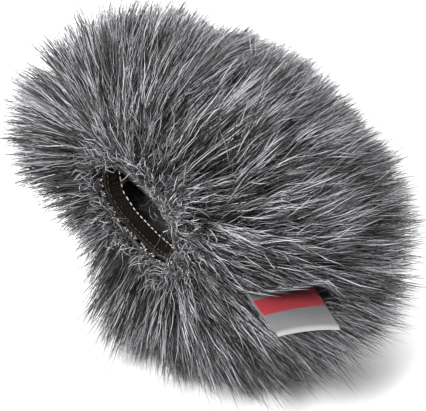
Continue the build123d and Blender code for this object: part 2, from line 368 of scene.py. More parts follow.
# ---- the bag's shape ------------------------------------------------------------------------
@dataclass
class BagShape:
    """The bag's skin as a formula: rounded sections from the mouth over the fullest part to the crown."""

    half_width: float = 0.0
    half_height: float = 0.0
    mouth_half_width: float = 0.0
    mouth_half_height: float = 0.0
    front: float = 0.0
    crown: float = 0.0
    seam_height: float = 0.0
    fullest_share: float = 1 / 3
    front_power: float = 2.1
    back_power: float = 2.3
    mouth_squareness: float = 2.8
    mouth_draw: float = 0.95
    body_squareness: float = 2.0
    crown_limit: float = 1.97

    @classmethod
    def from_frame(cls) -> "BagShape":
        """Read the sizes from the part's boxes."""
        low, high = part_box("upper_backing")
        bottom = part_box("lower_backing")[0]
        lip_low, lip_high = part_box("mouth_overlock_stitches")
        return cls(
            half_width=high.x,
            half_height=(high.z - bottom.z) / 2,
            mouth_half_width=(lip_high.x - lip_low.x) / 2 * cls.mouth_draw,
            mouth_half_height=(lip_high.z - lip_low.z) / 2 * cls.mouth_draw,
            front=low.y,
            crown=high.y,
            seam_height=(high.z + bottom.z) / 2,
        )

    def point(self, along: np.ndarray, turn: np.ndarray, inset: float = 0.0) -> np.ndarray:
        """Points of the skin.

        Args:
            along: 0 at the mouth, 1 at the fullest section, 2 at the crown.
            turn: angle round the axis, from +X towards +Z.
            inset: distance inwards from the skin.

        Returns:
            An array of points, one row each.
        """
        depth = self.crown - self.front
        fullest = depth * self.fullest_share
        front = np.clip(along, 0, 1) * math.pi / 2
        back = np.clip(along - 1, 0, 1) * math.pi / 2
        swell = np.sin(front) ** (2 / self.front_power)
        shrink = np.maximum(np.cos(back), 0) ** (2 / self.back_power)
        y_front = inset + (fullest - inset) * (1 - np.maximum(np.cos(front), 0) ** (2 / self.front_power))
        y_back = (depth - inset - fullest) * np.sin(back) ** (2 / self.back_power)
        wide = self.mouth_half_width + (self.half_width - self.mouth_half_width) * swell - inset
        high = self.mouth_half_height + (self.half_height - self.mouth_half_height) * swell - inset
        square = self.body_squareness + (self.mouth_squareness - self.body_squareness) * (1 - swell) ** 1.5
        x = wide * shrink * signed_power(np.cos(turn), 2 / square)
        z = high * shrink * signed_power(np.sin(turn), 2 / square) + self.seam_height
        return np.stack([x, self.front + y_front + y_back, z], -1)

    def frame_at(self, along: np.ndarray, turn: np.ndarray) -> tuple[np.ndarray, np.ndarray, np.ndarray]:
        """Points of the skin with the directions there.

        Args:
            along: 0 at the mouth, 1 at the fullest section, 2 at the crown.
            turn: angle round the axis, from +X towards +Z.

        Returns:
            The points, their outward normals, and the directions along the skin, away from the mouth.
        """
        step = 1e-3
        last = 1.995
        here = self.point(along, turn)
        behind = self.point(np.minimum(along, last) - step, turn)
        ahead = self.point(np.minimum(along + step, last), turn) - behind
        across = self.point(along, turn + step) - self.point(along, turn - step)
        normal = unit(np.cross(ahead, across))
        return here, normal, unit(ahead)

    def scatter(self, count: int, rng: np.random.Generator) -> tuple[np.ndarray, np.ndarray]:
        """Evenly spread random places on the skin.

        Args:
            count: how many.
            rng: the random source.

        Returns:
            The places' along and turn values.
        """
        rows, columns = 96, 180
        along = np.linspace(0, self.crown_limit, rows + 1)
        turn = np.linspace(0, ROUND, columns + 1)
        grid = self.point(along[:, None] + 0 * turn, turn[None, :] + 0 * along[:, None])
        one = grid[1:, 1:] - grid[:-1, :-1]
        two = grid[1:, :-1] - grid[:-1, 1:]
        area = np.linalg.norm(np.cross(one, two), axis=-1).ravel()
        cell = rng.choice(area.size, count, p=area / area.sum())
        row, column = np.divmod(cell, columns)
        return (
            along[row] + rng.random(count) * (along[1] - along[0]),
            turn[column] + rng.random(count) * (turn[1] - turn[0]),
        )


def signed_power(value: np.ndarray, power: np.ndarray) -> np.ndarray:
    """Power of a value's size, with the value's sign."""
    return np.sign(value) * np.abs(value) ** power


def unit(vectors: np.ndarray) -> np.ndarray:
    """Vectors scaled to length one."""
    return vectors / (np.linalg.norm(vectors, axis=-1, keepdims=True) + 1e-12)


@dataclass
class Drift:
    """Smooth random vector field, a sum of waves at one length scale."""

    scale: float
    seed: int
    waves: int = 7

    def __post_init__(self) -> None:
        """Draw the waves."""
        rng = np.random.default_rng(self.seed)
        self.pitch = rng.normal(size=(self.waves, 3, 3)) * 2 * math.pi / (self.scale * 1.7)
        self.phase = rng.uniform(0, ROUND, (self.waves, 3))

    def at(self, points: np.ndarray) -> np.ndarray:
        """The field at some points, about one in size."""
        angle = np.einsum("wkc,nc->nwk", self.pitch, points) + self.phase
        return np.sin(angle).sum(1) * math.sqrt(2 / self.waves)


# ---- pile -----------------------------------------------------------------------------------
@dataclass
class Coat:
    """One coat of the pile: how many strands, how long and thick, and how they gather into locks."""

    name: str
    strands: int
    lock_pitch: float
    length: float
    radius: float
    gather: float
    stray: float
    segments: int
    shade: float
    pieces: int
    seed: int


@dataclass
class Pile:
    """The fur: strands in locks that stand off the skin and lean away from the mouth.

    The leans are lengths beside an upright strand's length of one.  The overhang is how far the
    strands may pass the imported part's box, and the pocket is the room in which the label swings.
    Each spread is the lowest and highest share of a size that differs from strand to strand.
    """

    shape: BagShape
    label: "Label"
    lean_flank: float = 1.15
    lean_mouth_share: float = 0.45
    lean_rear_gain: float = 0.75
    lean_front: float = 2.0
    lean_crown_share: float = 0.3
    laid_share: float = 0.6
    parted_pull: float = 0.35
    whorl_lean: float = 0.20
    tuft_lean: float = 0.20
    fine_lean: float = 0.15
    forward: float = 0.95
    droop: float = 0.24
    front_depth: float = 32 * MM
    edge_depth: float = 18 * MM
    lip_reach: float = 15 * MM
    floor_gap: float = 0.4 * MM
    overhang: float = 9.8 * MM
    overhang_share: float = 0.028
    pocket_edge: float = 8 * MM
    swing_up: float = 0.50
    swing_down: float = 0.22
    kink: float = 0.42 * MM
    lock_length_spread: tuple[float, float] = (0.84, 1.06)
    strand_length_spread: tuple[float, float] = (0.80, 1.08)
    gather_spread: tuple[float, float] = (0.7, 1.2)
    radius_spread: tuple[float, float] = (0.7, 1.3)
    fuzz_length_spread: tuple[float, float] = (0.5, 1.25)
    laid_length_spread: tuple[float, float] = (0.4, 0.75)
    loose_gather: float = 0.1
    loose_wander: float = 0.15
    wander: float = 0.05
    mouth_margin: float = 0.95
    parted_turn: float = 50.0
    parted_way: Point = (0.775, -0.386, 0.5)
    shade_shape: tuple[float, float] = (0.70, 0.72)
    fuzz_shade_shape: tuple[float, float] = (1.3, 1.1)
    shade_limits: tuple[float, float] = (0.02, 0.97)
    lock_shade: float = 0.09
    patch_shade: float = 0.07
    coats: list[Coat] = field(
        default_factory=lambda: [
            Coat("guard", 64000, 1.7 * MM, 29.5 * MM, 0.165 * MM, 0.42, 0.20, 4, 0.0, 8, 3),
            # the under coat is darker: partly dark underfur, partly painted shade deep in the pile
            Coat("under", 12000, 2.2 * MM, 19 * MM, 0.18 * MM, 0.45, 0.3, 3, -0.15, 2, 5),
        ]
    )
    fuzz: Coat = field(
        default_factory=lambda: Coat("lip", 4200, 0.0, 11 * MM, 0.12 * MM, 0.0, 0.6, 6, 0.16, 2, 7)
    )

    def __post_init__(self) -> None:
        """Set up the fields that bend the locks, and the lip."""
        self.whorl = Drift(42 * MM, 11)
        self.tuft = Drift(13 * MM, 12)
        self.fine = Drift(5 * MM, 13)
        self.bright = Drift(20 * MM, 14)
        turn = np.linspace(0, ROUND, 180)
        self.lip = self.shape.point(0 * turn, turn)

    def lip_share(self, root: np.ndarray) -> np.ndarray:
        """1 at the lip of the mouth, falling to 0 at the lip's reach."""
        far = np.linalg.norm(root - self.lip[nearest(root, self.lip)], axis=1)
        return np.clip(1 - far / self.lip_reach, 0, 1)

    def parted(self, turn: np.ndarray) -> np.ndarray:
        """1 where the pile is brushed back to part the mouth, 0 on the other side of it."""
        return np.clip(np.cos(turn - math.radians(self.parted_turn)) + 0.25, 0, 1)

    def length_share(self, turn: np.ndarray, depth: np.ndarray, lip: np.ndarray) -> np.ndarray:
        """Length of the pile round the bag, as a share of its usual length.

        Args:
            turn: places round the axis.
            depth: distances behind the mouth's plane.
            lip: nearness to the lip.

        Returns:
            The shares.
        """
        front = np.clip(1 - depth / self.front_depth, 0, 1)

        def bump(centre: float, width: float) -> np.ndarray:
            """Smooth rise of one at a turn angle, with its width, both in degrees."""
            gap = (np.degrees(turn) - centre + 180) % 360 - 180
            return np.exp(-((gap / width) ** 2))

        share = 1 + 0.35 * bump(172, 30) * front + 0.31 * bump(132, 26) * front
        share += 0.30 * bump(266, 30) * front + 0.06 * bump(300, 25) - 0.08 * bump(22, 24)
        share += 0.22 * bump(325, 26) * (1 - front) - 0.12 * bump(88, 52) * (1 - front)
        share -= 0.42 * bump(233, 15) * front
        return share * (1 - (0.15 + 0.45 * self.parted(turn)) * lip)

    def lock_paths(
        self, along: np.ndarray, turn: np.ndarray, coat: Coat, rng: np.random.Generator
    ) -> np.ndarray:
        """Centre lines of locks.

        Args:
            along: the locks' places along the skin.
            turn: the locks' places round the axis.
            coat: the coat that the locks belong to.
            rng: the random source.

        Returns:
            Points, locks by stations by coordinates.
        """
        root, normal, away = self.shape.frame_at(along, turn)
        front = np.clip(-normal[:, 1:2], 0, 1)
        crown = np.clip(normal[:, 1:2], 0, 1)
        depth = root[:, 1:2] - self.shape.front
        edge = np.clip(1 - depth / self.edge_depth, 0, 1)
        side = root[:, 0:1] / self.shape.half_width
        low = np.clip(-normal[:, 2:3], 0, 1)
        parted = self.parted(turn)[:, None]
        rear = np.clip(depth / (self.shape.crown - self.shape.front), 0, 1)
        flank = self.lean_flank * (self.lean_mouth_share + self.lean_rear_gain * rear)
        lean = flank * (1 - front) + self.lean_front * front
        lean = lean * (1 - (1 - self.lean_crown_share) * crown)
        upright = normal * (1 - self.laid_share * edge * parted)
        end = upright + lean * away + self.whorl_lean * self.whorl.at(root)
        end = end + self.tuft_lean * self.tuft.at(root) + self.fine_lean * self.fine.at(root)
        end[:, 1:2] -= self.forward * edge * (1 - parted) * (0.45 - 0.75 * side - 0.1 * low)
        end[:, 1:2] += self.parted_pull * edge * parted
        end[:, 2] -= self.droop
        end = unit(end)
        start = unit(upright + (0.25 + 1.1 * front * edge) * away + 0.10 * self.tuft.at(root))
        length = coat.length * rng.uniform(*self.lock_length_spread, len(root))
        length *= self.length_share(turn, depth[:, 0], self.lip_share(root))
        path = [root]
        for k in range(1, coat.segments + 1):
            share = (k / coat.segments) ** 0.8
            heading = unit(start * (1 - share) + end * share)
            path.append(path[-1] + heading * (length / coat.segments)[:, None])
        return np.stack(path, 1)

    def strand_paths(
        self, coat: Coat, rng: np.random.Generator
    ) -> tuple[np.ndarray, np.ndarray, np.ndarray]:
        """Centre lines of all strands of a coat.

        Args:
            coat: the coat.
            rng: the random source.

        Returns:
            The paths, the strands' lock numbers, and their turn angles.
        """
        lock_count = int(self.skin_area() / coat.lock_pitch**2)
        lock_along, lock_turn = self.shape.scatter(lock_count, rng)
        lock_path = self.lock_paths(lock_along, lock_turn, coat, rng)
        along, turn = self.shape.scatter(coat.strands, rng)
        root = self.shape.point(along, turn)
        lock = nearest(root, lock_path[:, 0])
        offset = root - lock_path[lock, 0]
        far = np.linalg.norm(offset, axis=1)
        offset *= np.minimum(1, 2.2 * coat.lock_pitch / (far + 1e-9))[:, None]
        share = np.linspace(0, 1, coat.segments + 1)[None, :, None]
        loose = rng.random(coat.strands) < coat.stray
        gather = coat.gather * rng.uniform(*self.gather_spread, coat.strands)
        gather = np.where(loose, self.loose_gather, gather)[:, None, None]
        reach = rng.uniform(*self.strand_length_spread, coat.strands)[:, None, None]
        own = lock_path[lock] - lock_path[lock, :1]
        wildness = np.where(loose, self.loose_wander, self.wander)[:, None, None]
        wander = rng.normal(size=(coat.strands, 1, 3)) * wildness * coat.length
        path = root[:, None] + own * reach - offset[:, None] * gather * share**1.3 + wander * share**1.6
        path[:, 1:] += rng.normal(size=path[:, 1:].shape) * self.kink
        path = self.brush_back(path, along, turn, rng)
        kept = ~self.over_mouth(path)
        return path[kept], lock[kept], turn[kept]

    def over_mouth(self, path: np.ndarray) -> np.ndarray:
        """Whether strands hang over the mouth, on the side from which it is parted.

        Args:
            path: the strands' centre lines.

        Returns:
            True for each strand that does; the far upper corner is left overhung.
        """
        way = np.array(self.parted_way)
        shape = self.shape
        gap = np.maximum(shape.front - path[..., 1], 0) / -way[1]
        spot = path - gap[..., None] * way
        across = np.abs(spot[..., 0]) / (shape.mouth_half_width * self.mouth_margin)
        rise = np.abs(spot[..., 2] - shape.seam_height) / (shape.mouth_half_height * self.mouth_margin)
        power = shape.mouth_squareness
        corner = (spot[..., 0] < -0.55 * shape.mouth_half_width) & (spot[..., 2] > shape.seam_height)
        inside = (across**power + rise**power < 1) & (path[..., 1] < shape.front) & ~corner
        return inside[:, 1:].any(1)

    def brush_back(
        self, path: np.ndarray, along: np.ndarray, turn: np.ndarray, rng: np.random.Generator
    ) -> np.ndarray:
        """Lay strands that would hang over the mouth flat on the skin, away from it.

        Args:
            path: the strands' centre lines.
            along: their places along the skin.
            turn: their places round the axis.
            rng: the random source.

        Returns:
            The centre lines, with those strands laid back.
        """
        over = self.over_mouth(path)
        root, normal, away = self.shape.frame_at(along[over], turn[over])
        reach = np.linalg.norm(path[over, -1] - path[over, 0], axis=1)
        reach = reach * rng.uniform(*self.laid_length_spread, len(root))
        rise = (0.28 * rng.random(len(root)))[:, None] * normal
        way = unit(away + rise + 0.22 * rng.normal(size=root.shape))
        share = np.linspace(0, 1, path.shape[1])[None, :, None]
        lift = (normal * 1.2 * MM)[:, None] * share**0.5
        laid = root[:, None] + (way * reach[:, None])[:, None] * share + lift
        laid[:, 1:] += rng.normal(size=laid[:, 1:].shape) * self.kink * 1.6
        path[over] = laid
        return path

    def fuzz_paths(self, rng: np.random.Generator) -> tuple[np.ndarray, np.ndarray]:
        """Centre lines of the short curly strands round the lip.

        Args:
            rng: the random source.

        Returns:
            The paths and the strands' turn angles.
        """
        coat = self.fuzz
        along = 0.005 + 0.5 * rng.random(coat.strands) ** 1.7
        turn = rng.uniform(0, ROUND, coat.strands)
        root, normal, away = self.shape.frame_at(along, turn)
        outwards = np.where(rng.random((coat.strands, 1)) < 0.35, -0.3, 0.8)
        heading = unit(0.7 * normal + outwards * away + 0.65 * rng.normal(size=root.shape))
        length = coat.length * rng.uniform(*self.fuzz_length_spread, coat.strands)
        path = [root]
        for _ in range(coat.segments):
            heading = unit(heading + 0.6 * rng.normal(size=root.shape) + 0.25 * away)
            path.append(path[-1] + heading * (length / coat.segments)[:, None])
        path = np.stack(path, 1)
        kept = ~self.over_mouth(path) | (rng.random(coat.strands) < 0.10)
        return path[kept], turn[kept]

    def skin_area(self) -> float:
        """Rough area of the skin, for spacing the locks."""
        return 4 * math.pi * (self.shape.half_width * self.shape.half_height) * 0.85

    def keep_clear(self, path: np.ndarray) -> np.ndarray:
        """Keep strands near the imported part's box, and bend them off the ground and the label.

        Args:
            path: the strands' centre lines.

        Returns:
            The centre lines, moved where they have to be.
        """
        low_corner, high_corner = np.array(cad_box[0]), np.array(cad_box[1])
        room = self.overhang + self.overhang_share * (high_corner - low_corner)
        for beyond, way in ((path - high_corner, 1), (low_corner - path, -1)):
            excess = np.maximum(beyond, 0)
            path = path - way * (excess - room * np.tanh(excess / room))
        low = path[..., 2] < self.floor_gap
        path[..., 2] = np.where(low, self.floor_gap + 0.05 * (self.floor_gap - path[..., 2]), path[..., 2])
        flat = self.label.local(path.reshape(-1, 3)).reshape(path.shape)
        out, side, up = flat[..., 0], np.abs(flat[..., 1]), flat[..., 2]
        beside = np.clip((side - self.label.width / 2 - 0.6 * MM) / self.pocket_edge, 0, 1)
        near = (beside < 1) & (out > 0.5 * MM)
        above = (path[:, :1, 2] > self.shape.seam_height) & near
        below = (path[:, :1, 2] <= self.shape.seam_height) & near
        over = 1.2 * MM + self.swing_up * np.maximum(out - 5 * MM, 0)
        over = over * (1 - beside) - self.pocket_edge * beside
        under = (-1.4 * MM - self.swing_down * out) * (1 - beside) + self.pocket_edge * beside
        flat[..., 2] = np.where(above, np.maximum(up, over), np.where(below, np.minimum(up, under), up))
        return self.label.world(flat.reshape(-1, 3)).reshape(path.shape)

    def shades(
        self, path: np.ndarray, lock: np.ndarray, coat: Coat, rng: np.random.Generator
    ) -> np.ndarray:
        """Each strand's place in the colour ramp: many pale, many dark, where the dark ones are partly dark fibres
        and partly painted shade of the gaps between strands, and locks that differ a little.

        Args:
            path: the strands' centre lines.
            lock: their lock numbers.
            coat: the coat that they belong to.
            rng: the random source.

        Returns:
            The places, from 0 to 1.
        """
        lock_shade = rng.normal(size=lock.max() + 1) * self.lock_shade
        # the dark end of this draw stands partly for painted shade in the gaps between strands
        shade = rng.beta(*self.shade_shape, len(path)) + lock_shade[lock] + coat.shade
        shade = shade + self.patch_shade * self.bright.at(path[:, 0])[:, 0]
        return np.clip(shade, *self.shade_limits)

    def split(
        self, coat: Coat, path: np.ndarray, turn: np.ndarray, shade: np.ndarray, rng: np.random.Generator
    ) -> list[bpy.types.Object]:
        """Make a coat's strands into pieces for the upper and the lower panel.

        Args:
            coat: the coat.
            path: the strands' centre lines.
            turn: their places round the axis.
            shade: their places in the colour ramp.
            rng: the random source.

        Returns:
            The pieces.
        """
        radius = coat.radius * rng.uniform(*self.radius_spread, len(path))
        upper = path[:, 0, 2] > self.shape.seam_height
        pieces = []
        for panel, chosen in (("upper", upper), ("lower", ~upper)):
            members = np.flatnonzero(chosen)
            members = members[np.argsort(turn[members])]
            for number, part in enumerate(np.array_split(members, coat.pieces // 2), 1):
                name = f"{panel}_{coat.name}_hair_{number}"
                mesh = blades(name, path[part], radius[part], shade[part], rng)
                pieces.append(finished(name, mesh, COVER_BODY))
                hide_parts(f"{panel}_pile")
        return pieces

    def build(self, material: bpy.types.Material) -> None:
        """Make all coats and dress them.

        Args:
            material: the fur's material.
        """
        pieces = []
        for coat in self.coats:
            rng = np.random.default_rng(coat.seed)
            path, lock, turn = self.strand_paths(coat, rng)
            shade = self.shades(path, lock, coat, rng)
            pieces += self.split(coat, self.keep_clear(path), turn, shade, rng)
        rng = np.random.default_rng(self.fuzz.seed)
        path, turn = self.fuzz_paths(rng)
        shade = rng.beta(*self.fuzz_shade_shape, len(path)) + self.fuzz.shade
        shade = np.clip(shade, *self.shade_limits)
        pieces += self.split(self.fuzz, self.keep_clear(path), turn, shade, rng)
        for piece in pieces:
            piece.data.materials.append(material)
            report(piece)


def nearest(points: np.ndarray, centres: np.ndarray, batch: int = 2000) -> np.ndarray:
    """Find the nearest centre for each point.

    Args:
        points: the points.
        centres: the centres.
        batch: how many points are worked out at a time.

    Returns:
        The index of each point's centre.
    """
    result = np.empty(len(points), int)
    square = (centres**2).sum(1)
    for start in range(0, len(points), batch):
        some = points[start : start + batch]
        result[start : start + batch] = np.argmin(square[None] - 2 * some @ centres.T, 1)
    return result


def blade_pattern(segments: int) -> tuple[np.ndarray, np.ndarray, np.ndarray]:
    """One straight three-sided strand, to be repeated.

    Args:
        segments: how many lengths it is divided into.

    Returns:
        Its vertices, its triangles, and each corner's place along it.
    """
    bm = bmesh.new()
    bmesh.ops.create_cone(bm, cap_ends=True, segments=3, radius1=1.0, radius2=0.0, depth=1.0)
    bmesh.ops.translate(bm, verts=bm.verts, vec=(0, 0, 0.5))
    for k in range(1, segments):
        cut = dict(plane_co=(0, 0, k / segments), plane_no=(0, 0, 1))
        bmesh.ops.bisect_plane(bm, geom=bm.verts[:] + bm.edges[:] + bm.faces[:], **cut)
    bmesh.ops.triangulate(bm, faces=bm.faces)
    bmesh.ops.recalc_face_normals(bm, faces=bm.faces)
    bm.verts.index_update()
    vertices = np.array([v.co for v in bm.verts])
    triangles = np.array([[v.index for v in f.verts] for f in bm.faces])
    bm.free()
    return vertices, triangles, vertices[triangles, 2]


def blades(
    name: str, path: np.ndarray, radius: np.ndarray, shade: np.ndarray, rng: np.random.Generator
) -> bpy.types.Mesh:
    """Mesh of many tapered strands bent along their centre lines.

    Args:
        name: the mesh's name.
        path: strands by stations by coordinates.
        radius: each strand's radius at its root.
        shade: each strand's place in the colour ramp.
        rng: the random source.

    Returns:
        The mesh, with the map that its finish reads.
    """
    segments = path.shape[1] - 1
    pattern, triangles, corner_height = blade_pattern(segments)
    count = len(path)
    ahead = unit(np.diff(path, axis=1))
    heading = unit(np.concatenate([ahead[:, :1], ahead[:, 1:] + ahead[:, :-1], ahead[:, -1:]], 1))
    side = unit(np.cross(heading, rng.normal(size=(count, 1, 3))))
    other = np.cross(heading, side)
    height = pattern[:, 2]
    station = np.rint(height * segments).astype(int)
    width = np.maximum(1 - height**3.2, 0)
    ring = pattern[:, :2] / np.maximum(np.linalg.norm(pattern[:, :2], axis=1, keepdims=True), 1e-6)
    across = ring[None, :, :1] * side[:, station] + ring[None, :, 1:] * other[:, station]
    points = path[:, station] + across * (radius[:, None] * width[None])[..., None]
    mesh = bpy.data.meshes.new(name)
    mesh.vertices.add(count * len(pattern))
    mesh.vertices.foreach_set("co", points.astype(np.float32).ravel())
    corners = (triangles[None] + (np.arange(count) * len(pattern))[:, None, None]).reshape(-1, 3)
    mesh.loops.add(corners.size)
    mesh.loops.foreach_set("vertex_index", corners.ravel().astype(np.int32))
    mesh.polygons.add(len(corners))
    mesh.polygons.foreach_set("loop_start", np.arange(0, corners.size, 3, dtype=np.int32))
    layer = mesh.uv_layers.new(name=BAKE_UV)
    spread = np.array([0.0, 0.004, 0.002])
    u = np.clip(shade[:, None, None] + spread[None, None, :] + 0 * corner_height[None], 0.001, 0.999)
    v = np.clip(corner_height[None] + 0 * shade[:, None, None], 0.001, 0.999)
    layer.data.foreach_set("uv", np.stack([u, v], -1).astype(np.float32).ravel())
    mesh.update(calc_edges=True)
    mesh.validate()
    mesh.polygons.foreach_set("use_smooth", np.ones(len(mesh.polygons), bool))
    return mesh


# ---- cloth parts ----------------------------------------------------------------------------
def mapped_grid(name: str, counts: tuple[int, int], place: Place) -> bpy.types.Mesh:
    """Sheet made from a flat grid whose points are moved to a surface.

    Args:
        name: the mesh's name.
        counts: cells along the two directions.
        place: gives the points for two arrays that run from 0 to 1.

    Returns:
        The mesh, with doubled points merged and its two directions in the map.
    """
    bm = bmesh.new()
    bmesh.ops.create_grid(bm, x_segments=counts[0], y_segments=counts[1], size=0.5, calc_uvs=False)
    flat = np.array([v.co for v in bm.verts]) + 0.5
    layer = bm.loops.layers.uv.new(BAKE_UV)
    for face in bm.faces:
        for loop in face.loops:
            loop[layer].uv = (loop.vert.co.x + 0.5, loop.vert.co.y + 0.5)
    for vertex, point in zip(bm.verts, place(flat[:, 0], flat[:, 1])):
        vertex.co = point
    bmesh.ops.remove_doubles(bm, verts=bm.verts, dist=1e-5)
    mesh = bpy.data.meshes.new(name)
    bm.to_mesh(mesh)
    bm.free()
    mesh.polygons.foreach_set("use_smooth", np.ones(len(mesh.polygons), bool))
    return mesh


def outward(mesh: bpy.types.Mesh) -> bpy.types.Mesh:
    """Turn a closed mesh's faces outwards.

    Args:
        mesh: the mesh, which is changed.

    Returns:
        The same mesh.
    """
    bm = bmesh.new()
    bm.from_mesh(mesh)
    bmesh.ops.recalc_face_normals(bm, faces=bm.faces)
    bm.to_mesh(mesh)
    bm.free()
    return mesh


def thicken(piece: bpy.types.Object, thickness: float, offset: float) -> None:
    """Give a sheet its thickness.

    Args:
        piece: the sheet.
        thickness: how thick it gets.
        offset: -1 to grow inwards from the sheet, 0 to grow both ways.
    """
    modifier = piece.modifiers.new("thickness", "SOLIDIFY")
    modifier.thickness = thickness
    modifier.offset = offset


@dataclass
class BagLayers:
    """Knit ground and lining, each in an upper and a lower panel."""

    shape: BagShape
    knit_inset: float = 0.1 * MM
    knit_thickness: float = 0.8 * MM
    lining_inset: float = 1.5 * MM
    lining_thickness: float = 0.35 * MM
    wrinkle: float = 1.8 * MM
    seam_gap: float = 0.02
    gather_depth: float = 26 * MM
    gathers: int = 21
    cut_share: float = 0.8
    cut_stretch: float = 1.25

    def panel(self, name: str, lower: bool, inset: float, wrinkle: float) -> bpy.types.Mesh:
        """One panel of a layer.

        Args:
            name: the mesh's name.
            lower: whether it is the lower panel.
            inset: how far inside the skin it lies.
            wrinkle: height of its folds.

        Returns:
            The panel's sheet.
        """
        folds = Drift(9 * MM, 31)
        creases = Drift(22 * MM, 32)

        def place(u: np.ndarray, v: np.ndarray) -> np.ndarray:
            """Points of the panel for its two directions."""
            first = math.pi * lower + self.seam_gap
            turn = first + u * (math.pi - 2 * self.seam_gap)
            along = v * self.shape.crown_limit
            flat = self.shape.point(along, turn, inset)
            normal = self.shape.frame_at(along, turn)[1]
            height = np.abs(creases.at(flat)[:, :1]) * 0.7 + np.abs(folds.at(flat)[:, 1:2]) * 0.3
            laid = flat - normal * height * wrinkle
            if not wrinkle:
                return laid
            lip = self.shape.point(0 * turn, turn, inset)
            straight = np.stack([lip[:, 0], laid[:, 1], lip[:, 2]], -1)
            share = np.clip((laid[:, 1:2] - self.shape.front) / self.gather_depth, 0, 1)
            gather = np.sin(turn * self.gathers + 2.5 * creases.at(flat)[:, 2])[:, None] * wrinkle * 0.6
            middle = np.array([0, 0, self.shape.seam_height])
            inwards = unit((middle - straight) * [1, 0, 1])
            fade = np.sin(math.pi * np.minimum(1.3 * share, 1))
            return straight + (laid - straight) * share + inwards * gather * fade

        return mapped_grid(name, (110, 80), place)

    def build(self) -> None:
        """Make the four panels."""
        for panel, lower in (("upper", False), ("lower", True)):
            layers = (
                ("backing", "ground", "knit_ground", self.knit_inset, 0.0, self.knit_thickness),
                ("lining", "lining", "slick_lining", self.lining_inset, self.wrinkle, self.lining_thickness),
            )
            for node, layer, slot, inset, wrinkle, thickness in layers:
                name = f"{panel}_{layer}_cloth"
                mesh = self.panel(name, lower, inset, wrinkle)
                mesh.materials.append(finish_for(slot))
                piece = finished(name, mesh, COVER_BODY)
                thicken(piece, thickness, -1.0)
                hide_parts(f"{panel}_{node}")
                report(piece)


